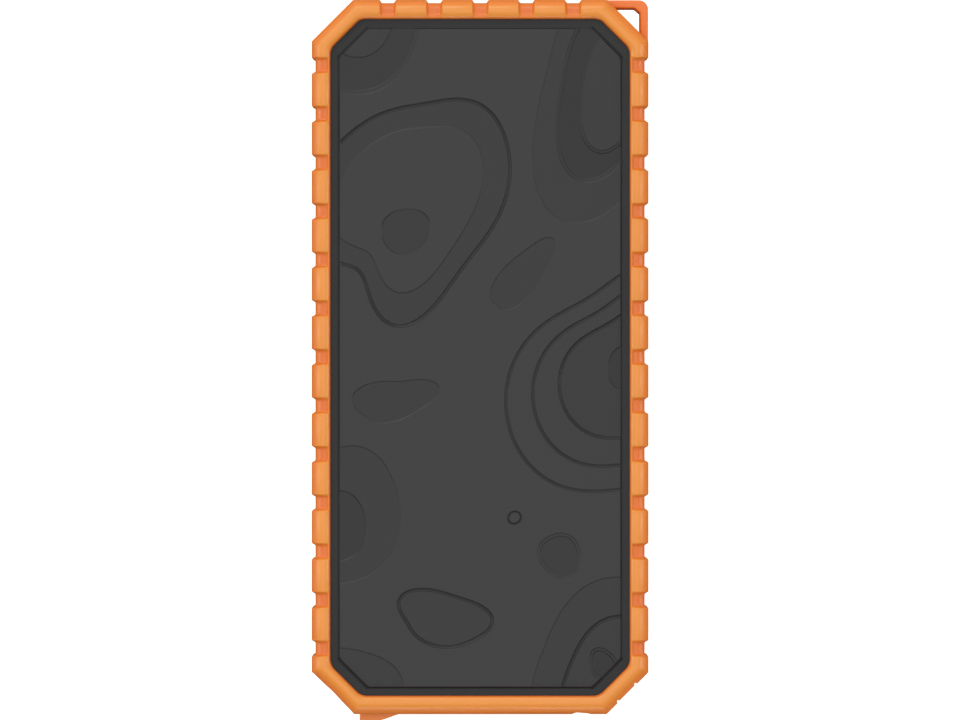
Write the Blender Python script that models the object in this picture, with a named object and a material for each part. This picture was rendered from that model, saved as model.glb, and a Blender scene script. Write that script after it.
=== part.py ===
"""Rugged power bank: housing in a ribbed rubber bumper, lanyard loop, port cover, button, cells and boards.

Lies flat: +Z up, +Y towards the lanyard end, -Y the port end. Origin at the centre of the
bounding box's base. Dimensions below are millimetres and become metres in the meshes.
"""
import bpy
import bmesh
import math
from mathutils import Vector, Matrix

for ob in list(bpy.data.objects):
    bpy.data.objects.remove(ob, do_unlink=True)

MM = 0.001
# ---- driving dimensions (mm)
WIDTH = 84.0            # outside width of the bumper
LENGTH = 178.3          # outside length of the bumper
THICK = 28.0            # overall thickness
CHAMFER = 10.4          # leg of the 45 degree corner chamfers
TAB = 2.2               # how far the cover's pull tab stands out
CY = TAB / 2.0          # body centre, so that the box is centred on the origin
LIP = 4.5               # width of the bumper's lip over each face
WALL = 2.0              # bumper wall on the sides
GAP = 0.3               # between touching pieces
RIB_PITCH = 12.11       # notch spacing on the long sides
RIB_COUNT = 13
RIB_FIRST = 72.6        # first notch above the body centre
END_PITCH = 11.6        # notch spacing on the lanyard end
END_COUNT = 5
NOTCH_MOUTH = 4.0
NOTCH_FLOOR = 2.7
NOTCH_DEPTH = 0.95
SHELL_IN = WALL + GAP   # housing's outline, inward from the bumper's outside
SHELL_WALL = 2.2
SHELL_LO = 2.0          # underside of the lower shell
SHELL_HI = 26.0         # top of the upper shell
SHELL_SKIN = 2.0        # shell floor thickness
FIELD_HX = 35.25        # raised field on the upper face
FIELD_HY = 82.25
MID = THICK / 2.0
SCREW_X = 35.0
SCREW_Y = (62.0, 0.0, -62.0)
BUTTON_TRAVEL = 0.5
COVER_X0, COVER_X1 = -30.75, 27.75   # bumper window for the port cover
COVER_Z0, COVER_Z1 = 6.0, 22.0
HINGE_X = 22.9
PORT_Z = 14.2

HX, HY = WIDTH / 2.0, LENGTH / 2.0
BOT = CY - HY           # port end of the body
TOP = CY + HY           # lanyard end of the body
END_DEPTH = 0.85


# ---- materials
def material(name, rgb, rough, metal=0.0):
    m = bpy.data.materials.new(name)
    m.use_nodes = True
    p = m.node_tree.nodes["Principled BSDF"]
    p.inputs["Base Color"].default_value = (rgb[0], rgb[1], rgb[2], 1.0)
    p.inputs["Roughness"].default_value = rough
    p.inputs["Metallic"].default_value = metal
    m.diffuse_color = (rgb[0], rgb[1], rgb[2], 1.0)
    return m


ORANGE = material("bumper_orange", (0.80, 0.27, 0.05), 0.55)
LOOP_ORANGE = material("loop_orange", (0.79, 0.17, 0.03), 0.5)
COVER_ORANGE = material("cover_orange", (0.79, 0.22, 0.04), 0.55)
BLACK = material("housing_black", (0.040, 0.040, 0.042), 0.5)
FIELD = material("field_black", (0.055, 0.055, 0.057), 0.55)
SEAL = material("seal_rubber", (0.02, 0.02, 0.02), 0.8)
STEEL = material("screw_steel", (0.35, 0.35, 0.36), 0.35, 1.0)
SOCKET = material("socket_steel", (0.62, 0.62, 0.63), 0.3, 1.0)
POUCH = material("pouch_foil", (0.55, 0.56, 0.58), 0.35, 1.0)
FOAM = material("foam_grey", (0.10, 0.10, 0.11), 0.95)
NICKEL = material("tab_nickel", (0.60, 0.58, 0.53), 0.3, 1.0)
BOARD = material("board_green", (0.02, 0.12, 0.05), 0.45)
CHIP = material("chip_black", (0.02, 0.02, 0.022), 0.4)
TONGUE = material("tongue_plastic", (0.03, 0.03, 0.03), 0.45)
FERRITE = material("ferrite_grey", (0.12, 0.12, 0.12), 0.6)
CAN = material("capacitor_can", (0.65, 0.66, 0.68), 0.3, 1.0)
LENS = material("light_guide_clear", (0.75, 0.80, 0.82), 0.15)
LED = material("led_white", (0.85, 0.85, 0.78), 0.3)
RED = material("lead_red", (0.45, 0.02, 0.02), 0.5)
DARK = material("lead_black", (0.02, 0.02, 0.02), 0.5)
SENSOR = material("sensor_bead", (0.10, 0.07, 0.04), 0.4)
PLUNGER = material("plunger_plastic", (0.75, 0.73, 0.68), 0.45)


# ---- mesh helpers (all take millimetres)
def link(name, bm, mat, smooth=None):
    bmesh.ops.recalc_face_normals(bm, faces=bm.faces)
    me = bpy.data.meshes.new(name)
    bm.to_mesh(me)
    bm.free()
    ob = bpy.data.objects.new(name, me)
    bpy.context.scene.collection.objects.link(ob)
    if mat is not None:
        me.materials.append(mat)
    if smooth is not None:
        me.shade_smooth()
        me.set_sharp_from_angle(angle=math.radians(smooth))
    return ob


def loft(bm, loops, closed):
    """Quads between successive loops of the same length; closed joins the last to the first."""
    rows = [[bm.verts.new(Vector(p) * MM) for p in lp] for lp in loops]
    n = len(rows[0])
    pairs = list(zip(rows, rows[1:]))
    if closed:
        pairs.append((rows[-1], rows[0]))
    for a, b in pairs:
        for i in range(n):
            j = (i + 1) % n
            bm.faces.new((a[i], a[j], b[j], b[i]))
    if not closed:
        bm.faces.new(rows[0])
        bm.faces.new(rows[-1])
    return rows


def outline(d, hx=HX, hy=HY, c=CHAMFER, cy=CY):
    """Chamfered rectangle moved inward by d, anticlockwise from the lower right side."""
    x, y = hx - d, hy - d
    k = c - (2.0 - math.sqrt(2.0)) * d
    return [(x, cy - y + k), (x, cy + y - k), (x - k, cy + y), (-x + k, cy + y),
            (-x, cy + y - k), (-x, cy - y + k), (-x + k, cy - y), (x - k, cy - y)]


def prism(name, poly, z0, z1, mat, smooth=None):
    bm = bmesh.new()
    loft(bm, [[(p[0], p[1], z0) for p in poly], [(p[0], p[1], z1) for p in poly]], False)
    return link(name, bm, mat, smooth)


def box(name, x0, x1, y0, y1, z0, z1, mat=None):
    return prism(name, [(x0, y0), (x1, y0), (x1, y1), (x0, y1)], z0, z1, mat)


def cylinder(name, base, axis, r, length, mat=None, seg=32, r2=None, smooth=40):
    """Cylinder or cone from base along axis."""
    a = Vector(axis).normalized()
    u = a.orthogonal().normalized()
    v = a.cross(u)
    b = Vector(base)
    rows = []
    for s, rr in ((0.0, r), (length, r if r2 is None else r2)):
        rows.append([tuple(b + a * s + (u * math.cos(t) + v * math.sin(t)) * rr)
                     for t in (2 * math.pi * i / seg for i in range(seg))])
    bm = bmesh.new()
    loft(bm, rows, False)
    return link(name, bm, mat, smooth)


def stack(name, base, axis, steps, mat, seg=32, smooth=40):
    """Turned piece: steps is a list of (distance along axis, radius)."""
    a = Vector(axis).normalized()
    u = a.orthogonal().normalized()
    v = a.cross(u)
    b = Vector(base)
    rows = [[tuple(b + a * s + (u * math.cos(t) + v * math.sin(t)) * r)
             for t in (2 * math.pi * i / seg for i in range(seg))] for s, r in steps]
    bm = bmesh.new()
    loft(bm, rows, False)
    return link(name, bm, mat, smooth)


def angled_box(name, centre, n, t0, t1, n0, n1, z0, z1, mat=None):
    """Box in the chamfer's own axes: n outward, t along the chamfer, z up."""
    t = Vector((-n[1], n[0]))
    c = Vector(centre)
    nn = Vector(n)
    poly = [c + t * a + nn * b for a, b in ((t0, n0), (t1, n0), (t1, n1), (t0, n1))]
    return prism(name, [(p.x, p.y) for p in poly], z0, z1, mat)


def combine(ob, others, operation):
    """Apply exact booleans one after another and drop the tools."""
    for k, tool in enumerate(others):
        md = ob.modifiers.new("op%d" % k, "BOOLEAN")
        md.operation = operation
        md.solver = "EXACT"
        md.object = tool
        dg = bpy.context.evaluated_depsgraph_get()
        dg.update()
        me = bpy.data.meshes.new_from_object(ob.evaluated_get(dg), depsgraph=dg)
        ob.modifiers.clear()
        old = ob.data
        ob.data = me
        me.name = ob.name
        bpy.data.meshes.remove(old)
        bpy.data.objects.remove(tool, do_unlink=True)
    mats = [m for m in ob.data.materials if m is not None]
    if mats:
        keep = mats[0]
        ob.data.materials.clear()
        ob.data.materials.append(keep)
        for f in ob.data.polygons:
            f.material_index = 0
    return ob


def cut(ob, *tools):
    return combine(ob, tools, "DIFFERENCE")


def join(ob, *tools):
    return combine(ob, tools, "UNION")


# ---- bumper frame: one C-shaped section carried round the outline, thinner at each notch
def section(kind):
    nd = {"rib": 0.0, "side": NOTCH_DEPTH, "end": END_DEPTH}[kind]
    if kind == "rib":
        top = [(0.0, 24.6), (1.0, 26.7), (2.2, 28.0), (3.3, 28.0), (4.1, 27.8), (4.5, 27.3)]
    else:
        top = [(nd, 24.3), (1.75, 26.1), (2.45, 27.1), (3.3, 27.3), (4.05, 27.65), (4.5, 27.3)]
    half = top + [(4.5, 26.3), (WALL, 26.3)]
    low = [(d, THICK - z) for d, z in reversed(half)]
    return half + low


def bumper():
    stations = []

    def add(s0, s1, centres, kind):
        """Walk one straight side from corner s0 to corner s1, both inclusive."""
        stations.append((s0, s1, 0.0, "rib"))
        length = math.hypot(s1[0](0.0) - s0[0](0.0), s1[1](0.0) - s0[1](0.0))
        for c in centres:
            for off, kd in ((-NOTCH_MOUTH / 2, "rib"), (-NOTCH_FLOOR / 2, kind),
                            (NOTCH_FLOOR / 2, kind), (NOTCH_MOUTH / 2, "rib")):
                stations.append((s0, s1, (c + off) / length, kd))

    def corner(i):
        return (lambda d, i=i: outline(d)[i][0], lambda d, i=i: outline(d)[i][1])

    side = [HY - CHAMFER - RIB_FIRST + k * RIB_PITCH for k in range(RIB_COUNT)]
    side_r = sorted(2 * (HY - CHAMFER) - s for s in side)
    wide = 2 * (HX - CHAMFER)
    end = [wide / 2 + (k - (END_COUNT - 1) / 2.0) * END_PITCH for k in range(END_COUNT)]
    c = [corner(i) for i in range(8)]
    add(c[0], c[1], side_r, "side")
    add(c[1], c[2], [], "rib")
    add(c[2], c[3], end, "end")
    add(c[3], c[4], [], "rib")
    add(c[4], c[5], side, "side")
    add(c[5], c[6], [], "rib")
    add(c[6], c[7], [], "rib")
    add(c[7], c[0], [], "rib")
    loops = []
    for s0, s1, f, kd in stations:
        # the place along the side is taken on the outside, and the section stands square to it
        ax, ay = s0[0](0.0), s0[1](0.0)
        bx, by = s1[0](0.0), s1[1](0.0)
        lp = []
        for d, z in section(kd):
            if f == 0.0:
                lp.append((s0[0](d), s0[1](d), z))
            else:
                ux, uy = bx - ax, by - ay
                ln = math.hypot(ux, uy)
                lp.append((ax + ux * f - uy / ln * d, ay + uy * f + ux / ln * d, z))
        loops.append(lp)
    bm = bmesh.new()
    loft(bm, loops, True)
    return link("bumper_frame", bm, ORANGE)


frame = bumper()
R2 = math.sqrt(0.5)
BUTTON_N = (R2, -R2)
BUTTON_C = (HX - CHAMFER / 2, BOT + CHAMFER / 2)
LOOP_N = (R2, R2)
LOOP_C = (HX - CHAMFER / 2, TOP - CHAMFER / 2)
PEG_T = 5.6
cut(frame,
    box("w", COVER_X0, COVER_X1, BOT - 1, BOT + WALL + 0.2, COVER_Z0, COVER_Z1),
    angled_box("b1", BUTTON_C, BUTTON_N, -3.75, 3.75, -2.3, 1.0, MID - 6.0, MID + 6.0),
    angled_box("b2", BUTTON_C, BUTTON_N, -4.6, 4.6, -2.5, -1.2, MID - 6.9, MID + 6.9),
    angled_box("p1", LOOP_C, LOOP_N, -PEG_T - 1.3, -PEG_T + 1.3, -1.5, 1.0, MID - 4.8, MID + 4.8),
    angled_box("p2", LOOP_C, LOOP_N, PEG_T - 1.3, PEG_T + 1.3, -1.5, 1.0, MID - 4.8, MID + 4.8))

# ---- lanyard loop: an L-shaped bar across the corner with two pegs in the bumper
S = HX - CHAMFER + TOP + GAP / R2
LB = 2.1
loop = prism("lanyard_loop",
             [(S - TOP, TOP), (HX - 2.6, TOP), (HX, TOP - 2.6), (HX, S - HX),
              (HX - LB, S - (HX - LB)), (HX - LB, TOP - LB - 1.2), (HX - LB - 1.2, TOP - LB),
              (S - (TOP - LB), TOP - LB)], MID - 6.0, MID + 6.0, LOOP_ORANGE)
join(loop,
     angled_box("q1", LOOP_C, LOOP_N, -PEG_T - 1.0, -PEG_T + 1.0, -1.2, 0.6, MID - 4.5, MID + 4.5),
     angled_box("q2", LOOP_C, LOOP_N, PEG_T - 1.0, PEG_T + 1.0, -1.2, 0.6, MID - 4.5, MID + 4.5))

# ---- housing shells
IN = SHELL_IN + SHELL_WALL
SPLIT = MID


def tray(name, z_out, z_floor, z_rim):
    """Open box with the housing's outline: z_out outside of the floor, z_rim the open edge."""
    def lp(d, z):
        return [(x, y, z) for x, y in outline(d)]
    bm = bmesh.new()
    rows = [lp(SHELL_IN, z_out), lp(SHELL_IN, z_rim), lp(IN, z_rim), lp(IN, z_floor)]
    loft(bm, rows, False)
    return link(name, bm, BLACK)


upper = tray("upper_shell", SHELL_HI, SHELL_HI - SHELL_SKIN, SPLIT + 0.15)
lower = tray("lower_shell", SHELL_LO, SHELL_LO + SHELL_SKIN, SPLIT - 0.15)
screw_at = [(sx * SCREW_X, CY + y) for y in SCREW_Y for sx in (-1, 1)]
STAND = [(-27.0, -52.0), (27.0, -52.0)]


def boss(x, y, z0, z1, r=2.4):
    b = cylinder("boss", (x, y, z0), (0, 0, 1), r, z1 - z0, seg=24)
    if abs(x) > 30:
        w = 38.6 if x > 0 else -38.6
        join(b, box("web", min(x, w), max(x, w), y - 1.4, y + 1.4, z0, z1))
    return b


for x, y in screw_at:
    join(lower, boss(x, y, SHELL_LO + 1.0, SPLIT - 0.15))
    join(upper, boss(x, y, SPLIT + 0.15, SHELL_HI - 1.5))
for x, y in STAND:
    join(lower, boss(x, y, SHELL_LO + 1.0, 9.1))

# rabbet for the seal in the lower shell's rim
bm = bmesh.new()
loft(bm, [[(x, y, 13.0) for x, y in outline(3.4)], [(x, y, 14.5) for x, y in outline(3.4)],
          [(x, y, 14.5) for x, y in outline(5.6)], [(x, y, 13.0) for x, y in outline(5.6)]], True)
rab = link("rab", bm, None)
cut(lower, rab)
for x, y in screw_at:
    cut(lower,
        cylinder("h", (x, y, 1.0), (0, 0, 1), 1.4, 16.0, seg=24),
        cylinder("h", (x, y, 1.0), (0, 0, 1), 2.35, 2.7, seg=32))
    cut(upper, cylinder("h", (x, y, 13.0), (0, 0, 1), 1.4, 8.2, seg=24))
for x, y in STAND:
    cut(lower, cylinder("h", (x, y, 4.6), (0, 0, 1), 1.3, 5.5, seg=24))

# recesses for the two field panels
UP = outline(0.0, FIELD_HX + GAP, FIELD_HY + GAP, 7.3, CY - 0.25)
LOW = outline(0.0, 31.5 + GAP, 66.0 + GAP, 7.0, CY + 8.0)
cut(upper, prism("r", UP, SHELL_HI - 1.0, SHELL_HI + 1.0, None))
cut(lower, prism("r", LOW, SHELL_LO - 1.0, SHELL_LO + 1.0, None))
# port window, button pocket and button hole through both shells
for sh in (upper, lower):
    cut(sh,
        box("pw", -27.3, 24.3, BOT + 1.5, BOT + 6.0, 8.0, 20.0),
        angled_box("bp", BUTTON_C, BUTTON_N, -4.6, 4.6, -2.9, -1.5, MID - 6.9, MID + 6.9),
        cylinder("bh", (BUTTON_C[0] - BUTTON_N[0] * 6.5, BUTTON_C[1] - BUTTON_N[1] * 6.5, MID),
                 (BUTTON_N[0], BUTTON_N[1], 0.0), 1.6, 5.0, seg=24))
# light-guide holes in the underside
LEDS = [(9.5 + 4.5 * k, -68.0) for k in range(4)]
for x, y in LEDS:
    cut(lower, cylinder("lh", (x, y, 1.0), (0, 0, 1), 1.2, 4.0, seg=24))


def field(name, hx, hy, c, cy, z_in, z_edge, z_face, mat):
    bm = bmesh.new()
    a = outline(0.0, hx, hy, c, cy)
    b = outline(0.45, hx, hy, c, cy)
    loft(bm, [[(x, y, z_in) for x, y in a], [(x, y, z_edge) for x, y in a],
              [(x, y, z_face) for x, y in b]], False)
    return link(name, bm, mat)


field("upper_panel", FIELD_HX, FIELD_HY, 7.3, CY - 0.25, 25.3, 26.3, 26.7, FIELD)
field("lower_panel", 31.5, 66.0, 7.0, CY + 8.0, 2.7, 1.7, 1.3, FIELD)

# ---- shell seal
bm = bmesh.new()
loft(bm, [[(x, y, 13.2) for x, y in outline(3.65)], [(x, y, 14.0) for x, y in outline(3.65)],
          [(x, y, 14.0) for x, y in outline(4.35)], [(x, y, 13.2) for x, y in outline(4.35)]], True)
seal = link("shell_seal", bm, SEAL)
cut(seal, box("s", -27.6, HX, BOT, BOT + 10.6, 12.0, 16.0))
for x, y in screw_at:
    cut(seal, cylinder("s", (x, y, 12.0), (0, 0, 1), 2.6, 4.0, seg=24))

# ---- housing screws
for k, (x, y) in enumerate(screw_at):
    s = stack("housing_screw_%d" % (k + 1), (x, y, 2.1), (0, 0, 1),
              [(0.0, 1.8), (0.3, 2.05), (1.3, 2.05), (1.3, 1.1), (16.9, 1.1), (17.9, 0.5)],
              STEEL, seg=24)
    for ang in (0.0, math.pi / 2):
        slot = box("x", -1.15, 1.15, -0.25, 0.25, -0.5, 0.7)
        slot.data.transform(Matrix.Rotation(ang, 4, "Z"))
        slot.data.transform(Matrix.Translation(Vector((x, y, 2.1)) * MM))
        cut(s, slot)

# ---- port plate and sockets
Y_SOCK = BOT + 2.75     # mouth of the sockets
plate = box("port_plate", -27.0, 24.0, BOT + 2.6, BOT + 4.2, 8.3, 19.7, BLACK)
A_X = (-17.5, -0.5)
C_X = 14.5
for x in A_X:
    cut(plate, box("o", x - 6.9, x + 6.9, BOT, BOT + 8, PORT_Z - 3.15, PORT_Z + 3.15))
cut(plate, box("o", C_X - 4.8, C_X + 4.8, BOT, BOT + 8, PORT_Z - 1.95, PORT_Z + 1.95))
for k, x in enumerate(A_X):
    sh = box("usb_a_shell_%d" % (k + 1), x - 6.6, x + 6.6, Y_SOCK, Y_SOCK + 14.0,
             PORT_Z - 2.85, PORT_Z + 2.85, SOCKET)
    cut(sh, box("o", x - 6.25, x + 6.25, Y_SOCK - 1, Y_SOCK + 13.6, PORT_Z - 2.55, PORT_Z + 2.55))
    bm = bmesh.new()
    prof = [(Y_SOCK + 0.8, 0.1), (Y_SOCK + 10.6, 0.1), (Y_SOCK + 10.6, -2.25), (Y_SOCK + 13.3, -2.25),
            (Y_SOCK + 13.3, 2.25), (Y_SOCK + 10.6, 2.25), (Y_SOCK + 10.6, 1.9), (Y_SOCK + 0.8, 1.9)]
    loft(bm, [[(x - 5.55, y, PORT_Z + z) for y, z in prof],
              [(x + 5.55, y, PORT_Z + z) for y, z in prof]], False)
    link("usb_a_tongue_%d" % (k + 1), bm, TONGUE)


def stadium(cx, cz, hw, hh, seg=8):
    pts = []
    for side, a0 in ((1, -math.pi / 2), (-1, math.pi / 2)):
        for i in range(seg + 1):
            a = a0 + math.pi * i / seg
            pts.append((cx + side * (hw - hh) + hh * math.cos(a), cz + hh * math.sin(a)))
    return pts


def along_y(name, pts, y0, y1, mat=None):
    bm = bmesh.new()
    loft(bm, [[(x, y0, z) for x, z in pts], [(x, y1, z) for x, z in pts]], False)
    return link(name, bm, mat, 40)


C_Z = PORT_Z
cs = along_y("usb_c_shell", stadium(C_X, C_Z, 4.47, 1.63), Y_SOCK, Y_SOCK + 8.0, SOCKET)
cut(cs, along_y("o", stadium(C_X, C_Z, 4.17, 1.33), Y_SOCK - 1, Y_SOCK + 7.7))
box("usb_c_tongue", C_X - 3.35, C_X + 3.35, Y_SOCK + 0.9, Y_SOCK + 7.4, C_Z - 0.35, C_Z + 0.35, TONGUE)

# ---- main board and what is on it
bd = prism("main_board", [(31.5, -73.0), (31.5, -48.0), (-31.5, -48.0), (-31.5, -76.0),
                          (-25.5, -82.5), (25.5, -82.5)], 9.4, 11.0, BOARD)
for x, y in STAND:
    cut(bd, cylinder("h", (x, y, 8.0), (0, 0, 1), 1.4, 5.0, seg=24))
for k, (x, y) in enumerate(STAND):
    stack("board_screw_%d" % (k + 1), (x, y, 12.4), (0, 0, -1),
          [(0.0, 1.5), (0.3, 1.9), (1.1, 1.9), (1.1, 1.0), (7.0, 1.0)], STEEL, seg=24)


def bevel_box(name, x0, x1, y0, y1, z0, z1, b, mat):
    def r(d, z):
        return [(x0 + d, y0 + d, z), (x1 - d, y0 + d, z), (x1 - d, y1 - d, z), (x0 + d, y1 - d, z)]
    bm = bmesh.new()
    loft(bm, [r(b, z0), r(0, z0 + b), r(0, z1 - b), r(b, z1)], False)
    return link(name, bm, mat)


bevel_box("inductor_1", -27.5, -20.5, -66.5, -59.5, 11.3, 15.3, 0.5, FERRITE)
bevel_box("inductor_2", -17.5, -10.5, -66.5, -59.5, 11.3, 15.3, 0.5, FERRITE)
for k, x in enumerate((-4.0, 3.5)):
    stack("capacitor_%d" % (k + 1), (x, -62.5, 11.3), (0, 0, 1),
          [(0.0, 2.6), (1.0, 2.6), (1.2, 2.35), (1.5, 2.6), (5.7, 2.6), (6.0, 2.3)], CAN, seg=24)
bevel_box("controller_chip", 9.0, 15.0, -66.0, -60.0, 11.3, 12.2, 0.12, CHIP)
bevel_box("transistor_1", 17.5, 22.5, -57.0, -53.0, 11.3, 12.3, 0.12, CHIP)
bevel_box("transistor_2", 17.5, 22.5, -63.5, -59.5, 11.3, 12.3, 0.12, CHIP)
for k, (x, y) in enumerate(LEDS):
    bevel_box("led_%d" % (k + 1), x - 0.8, x + 0.8, y - 0.6, y + 0.6, 8.3, 9.1, 0.1, LED)
guide = box("light_guide", LEDS[0][0] - 2.0, LEDS[3][0] + 2.0, -69.6, -66.4, 4.3, 8.0, LENS)
for x, y in LEDS:
    join(guide, cylinder("g", (x, y, 2.05), (0, 0, 1), 0.9, 4.0, seg=24))

# ---- tact switch and power button, square to the corner chamfer
def on_chamfer(n, t=0.0):
    return (BUTTON_C[0] + BUTTON_N[0] * n - BUTTON_N[1] * t,
            BUTTON_C[1] + BUTTON_N[1] * n + BUTTON_N[0] * t, MID)


AX = (BUTTON_N[0], BUTTON_N[1], 0.0)
sw = angled_box("switch_body", BUTTON_C, BUTTON_N, -3.0, 3.0, -13.5, -10.0, 11.3, 16.7, CHIP)
cut(sw, cylinder("s", on_chamfer(-12.4), AX, 1.2, 4.0, seg=24))
pl = cylinder("switch_plunger", on_chamfer(-11.6), AX, 0.9, 3.9, PLUNGER, seg=24)
btn = angled_box("power_button", BUTTON_C, BUTTON_N, -4.3, 4.3, -1.9, -1.4, MID - 6.6, MID + 6.6, ORANGE)
bm = bmesh.new()
tt = Vector((-BUTTON_N[1], BUTTON_N[0]))
rows = []
for n, g in ((-1.6, 0.0), (-0.4, 0.0), (0.0, 0.35)):
    rows.append([(BUTTON_C[0] + BUTTON_N[0] * n + tt.x * a, BUTTON_C[1] + BUTTON_N[1] * n + tt.y * a, MID + z)
                 for a, z in ((-2.75 + g, -5.0 + g), (2.75 - g, -5.0 + g), (2.75 - g, 5.0 - g), (-2.75 + g, 5.0 - g))])
loft(bm, rows, False)
join(btn, link("cap", bm, None),
     cylinder("stem", on_chamfer(-7.4), AX, 1.2, 5.8, seg=24))

# ---- rubber port cover: flap with pull tab and shallow plugs, and its fixed end
cov = box("port_cover", COVER_X0 + GAP, HINGE_X - 0.3, BOT + 0.05, BOT + 1.7,
          COVER_Z0 + GAP, COVER_Z1 - GAP, COVER_ORANGE)
join(cov,
     prism("tab", [(-30.1, BOT + 1.0), (-30.1, BOT - TAB + 0.5), (-29.6, BOT - TAB), (-24.0, BOT - TAB),
                   (-23.4, BOT - TAB + 0.35), (-19.8, BOT + 0.05), (-19.8, BOT + 1.0)], MID - 5.0, MID + 5.0, None))
for x in A_X:
    join(cov, box("pad", x - 5.4, x + 5.4, BOT + 1.2, BOT + 3.15, PORT_Z - 1.9, PORT_Z + 1.9))
join(cov, along_y("pad", stadium(C_X, C_Z, 3.4, 0.75, 6), BOT + 1.2, BOT + 3.15))
anchor = box("cover_anchor", HINGE_X + 0.3, COVER_X1 - GAP, BOT + 0.5, BOT + 1.7,
             COVER_Z0 + GAP, COVER_Z1 - GAP, COVER_ORANGE)

# ---- cells, pads, tabs, protection board, sensor and leads
CELL = (-32.0, 32.0, -41.0, 81.0)


def pouch(name, z0, z1):
    """Pouch cell with rounded long edges."""
    r = 2.2
    prof = []
    for cx, cz, a0 in ((CELL[1] - r, z1 - r, 0), (CELL[0] + r, z1 - r, 90), (CELL[0] + r, z0 + r, 180),
                       (CELL[1] - r, z0 + r, 270)):
        for i in range(5):
            a = math.radians(a0 + 22.5 * i)
            prof.append((cx + r * math.cos(a), cz + r * math.sin(a)))
    bm = bmesh.new()
    loft(bm, [[(x, CELL[2], z) for x, z in prof], [(x, CELL[3], z) for x, z in prof]], False)
    return link(name, bm, POUCH, 40)


pouch("cell_lower", 5.2, 13.4)
pouch("cell_upper", 14.6, 22.8)
box("foam_lower", -24, 24, -30, 70, 4.3, 4.9, FOAM)
box("foam_middle", -26, 26, -34, 74, 13.7, 14.3, FOAM)
box("foam_upper", -24, 24, -30, 70, 23.1, 23.7, FOAM)
for nm, x, z in (("tab_lower_pos", -12, 9.3), ("tab_lower_neg", 12, 9.3),
                 ("tab_upper_pos", -12, 18.7), ("tab_upper_neg", 12, 18.7)):
    box(nm, x - 2.5, x + 2.5, -43.4, -41.2, z - 0.15, z + 0.15, NICKEL)
box("protection_board", -20, 20, -44.7, -43.7, 6.0, 22.0, BOARD)
cylinder("temp_sensor", (-2.0, -42.2, 14.0), (1, 0, 0), 0.8, 4.0, SENSOR, seg=16)


def lead(name, x, mat, r=0.8, seg=12, steps=10):
    """Short insulated lead that arches from the protection board down to the main board."""
    rows = []
    p0, p1, p2, p3 = (Vector(p) for p in ((x, -45.0, 17.5), (x, -49.5, 17.5), (x, -50.5, 12.2), (x, -54.5, 12.2)))
    for i in range(steps + 1):
        t = i / steps
        p = p0 * (1 - t) ** 3 + p1 * 3 * t * (1 - t) ** 2 + p2 * 3 * t * t * (1 - t) + p3 * t ** 3
        d = ((p1 - p0) * (1 - t) ** 2 + (p2 - p1) * 2 * t * (1 - t) + (p3 - p2) * t * t).normalized()
        u = Vector((1, 0, 0))
        v = d.cross(u)
        rows.append([tuple(p + (u * math.cos(a) + v * math.sin(a)) * r)
                     for a in (2 * math.pi * k / seg for k in range(seg))])
    bm = bmesh.new()
    loft(bm, rows, False)
    return link(name, bm, mat, 40)


lead("lead_red", -7.0, RED)
lead("lead_black", 7.0, DARK)

# ---- origins of the moving pieces on their joint axes
def set_origin(ob, p):
    v = Vector(p) * MM
    ob.data.transform(Matrix.Translation(-v))
    ob.location = v


set_origin(cov, (HINGE_X, BOT + 0.3, MID))
set_origin(btn, on_chamfer(0.0))
set_origin(pl, on_chamfer(-7.7))
for ob in bpy.data.objects:
    ob.hide_render = False
bpy.context.view_layer.update()
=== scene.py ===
"""Looks for the rugged power bank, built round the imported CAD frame.

Millimetres in the numbers below, metres in the meshes. +Z up, +Y the lanyard end.
"""
import bpy
import bmesh
import math
import random
from mathutils import Vector, Matrix
from mathutils.kdtree import KDTree
from mathutils.geometry import delaunay_2d_cdt


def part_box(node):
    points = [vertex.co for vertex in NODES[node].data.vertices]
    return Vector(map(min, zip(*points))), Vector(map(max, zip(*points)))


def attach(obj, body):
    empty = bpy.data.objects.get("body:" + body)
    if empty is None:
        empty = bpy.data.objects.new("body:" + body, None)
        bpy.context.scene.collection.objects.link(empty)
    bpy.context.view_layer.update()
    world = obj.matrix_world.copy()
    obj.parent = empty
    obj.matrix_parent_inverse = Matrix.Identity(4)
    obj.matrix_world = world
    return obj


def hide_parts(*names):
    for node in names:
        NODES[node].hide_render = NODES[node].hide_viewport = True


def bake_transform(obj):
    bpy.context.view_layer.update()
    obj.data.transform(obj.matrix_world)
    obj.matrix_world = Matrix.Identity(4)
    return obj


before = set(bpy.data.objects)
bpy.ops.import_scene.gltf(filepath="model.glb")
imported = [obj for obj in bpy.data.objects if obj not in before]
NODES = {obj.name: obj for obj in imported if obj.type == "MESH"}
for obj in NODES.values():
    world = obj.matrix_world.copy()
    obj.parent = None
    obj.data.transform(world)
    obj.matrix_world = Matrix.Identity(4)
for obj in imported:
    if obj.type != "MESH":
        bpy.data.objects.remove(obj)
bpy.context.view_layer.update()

MM = 0.001
HX, HY, CY = 42.0, 89.15, 1.1
TOP, BOT = CY + HY, CY - HY
CHAMFER = 10.4
THICK, MID = 28.0, 14.0
R2 = math.sqrt(0.5)
T22 = math.tan(math.radians(22.5))


# ------------------------------------------------------------------ materials
def new_mat(name):
    m = bpy.data.materials.new(name)
    m.use_nodes = True
    nt = m.node_tree
    bsdf = nt.nodes["Principled BSDF"]
    return m, nt, bsdf


def coords(nt):
    tc = nt.nodes.new("ShaderNodeTexCoord")
    return tc.outputs["Object"]


def noise(nt, vec, scale, detail=3.0, rough=0.55, distortion=0.0):
    n = nt.nodes.new("ShaderNodeTexNoise")
    n.inputs["Scale"].default_value = scale
    n.inputs["Detail"].default_value = detail
    n.inputs["Roughness"].default_value = rough
    n.inputs["Distortion"].default_value = distortion
    nt.links.new(vec, n.inputs["Vector"])
    return n.outputs["Fac"]


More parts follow.
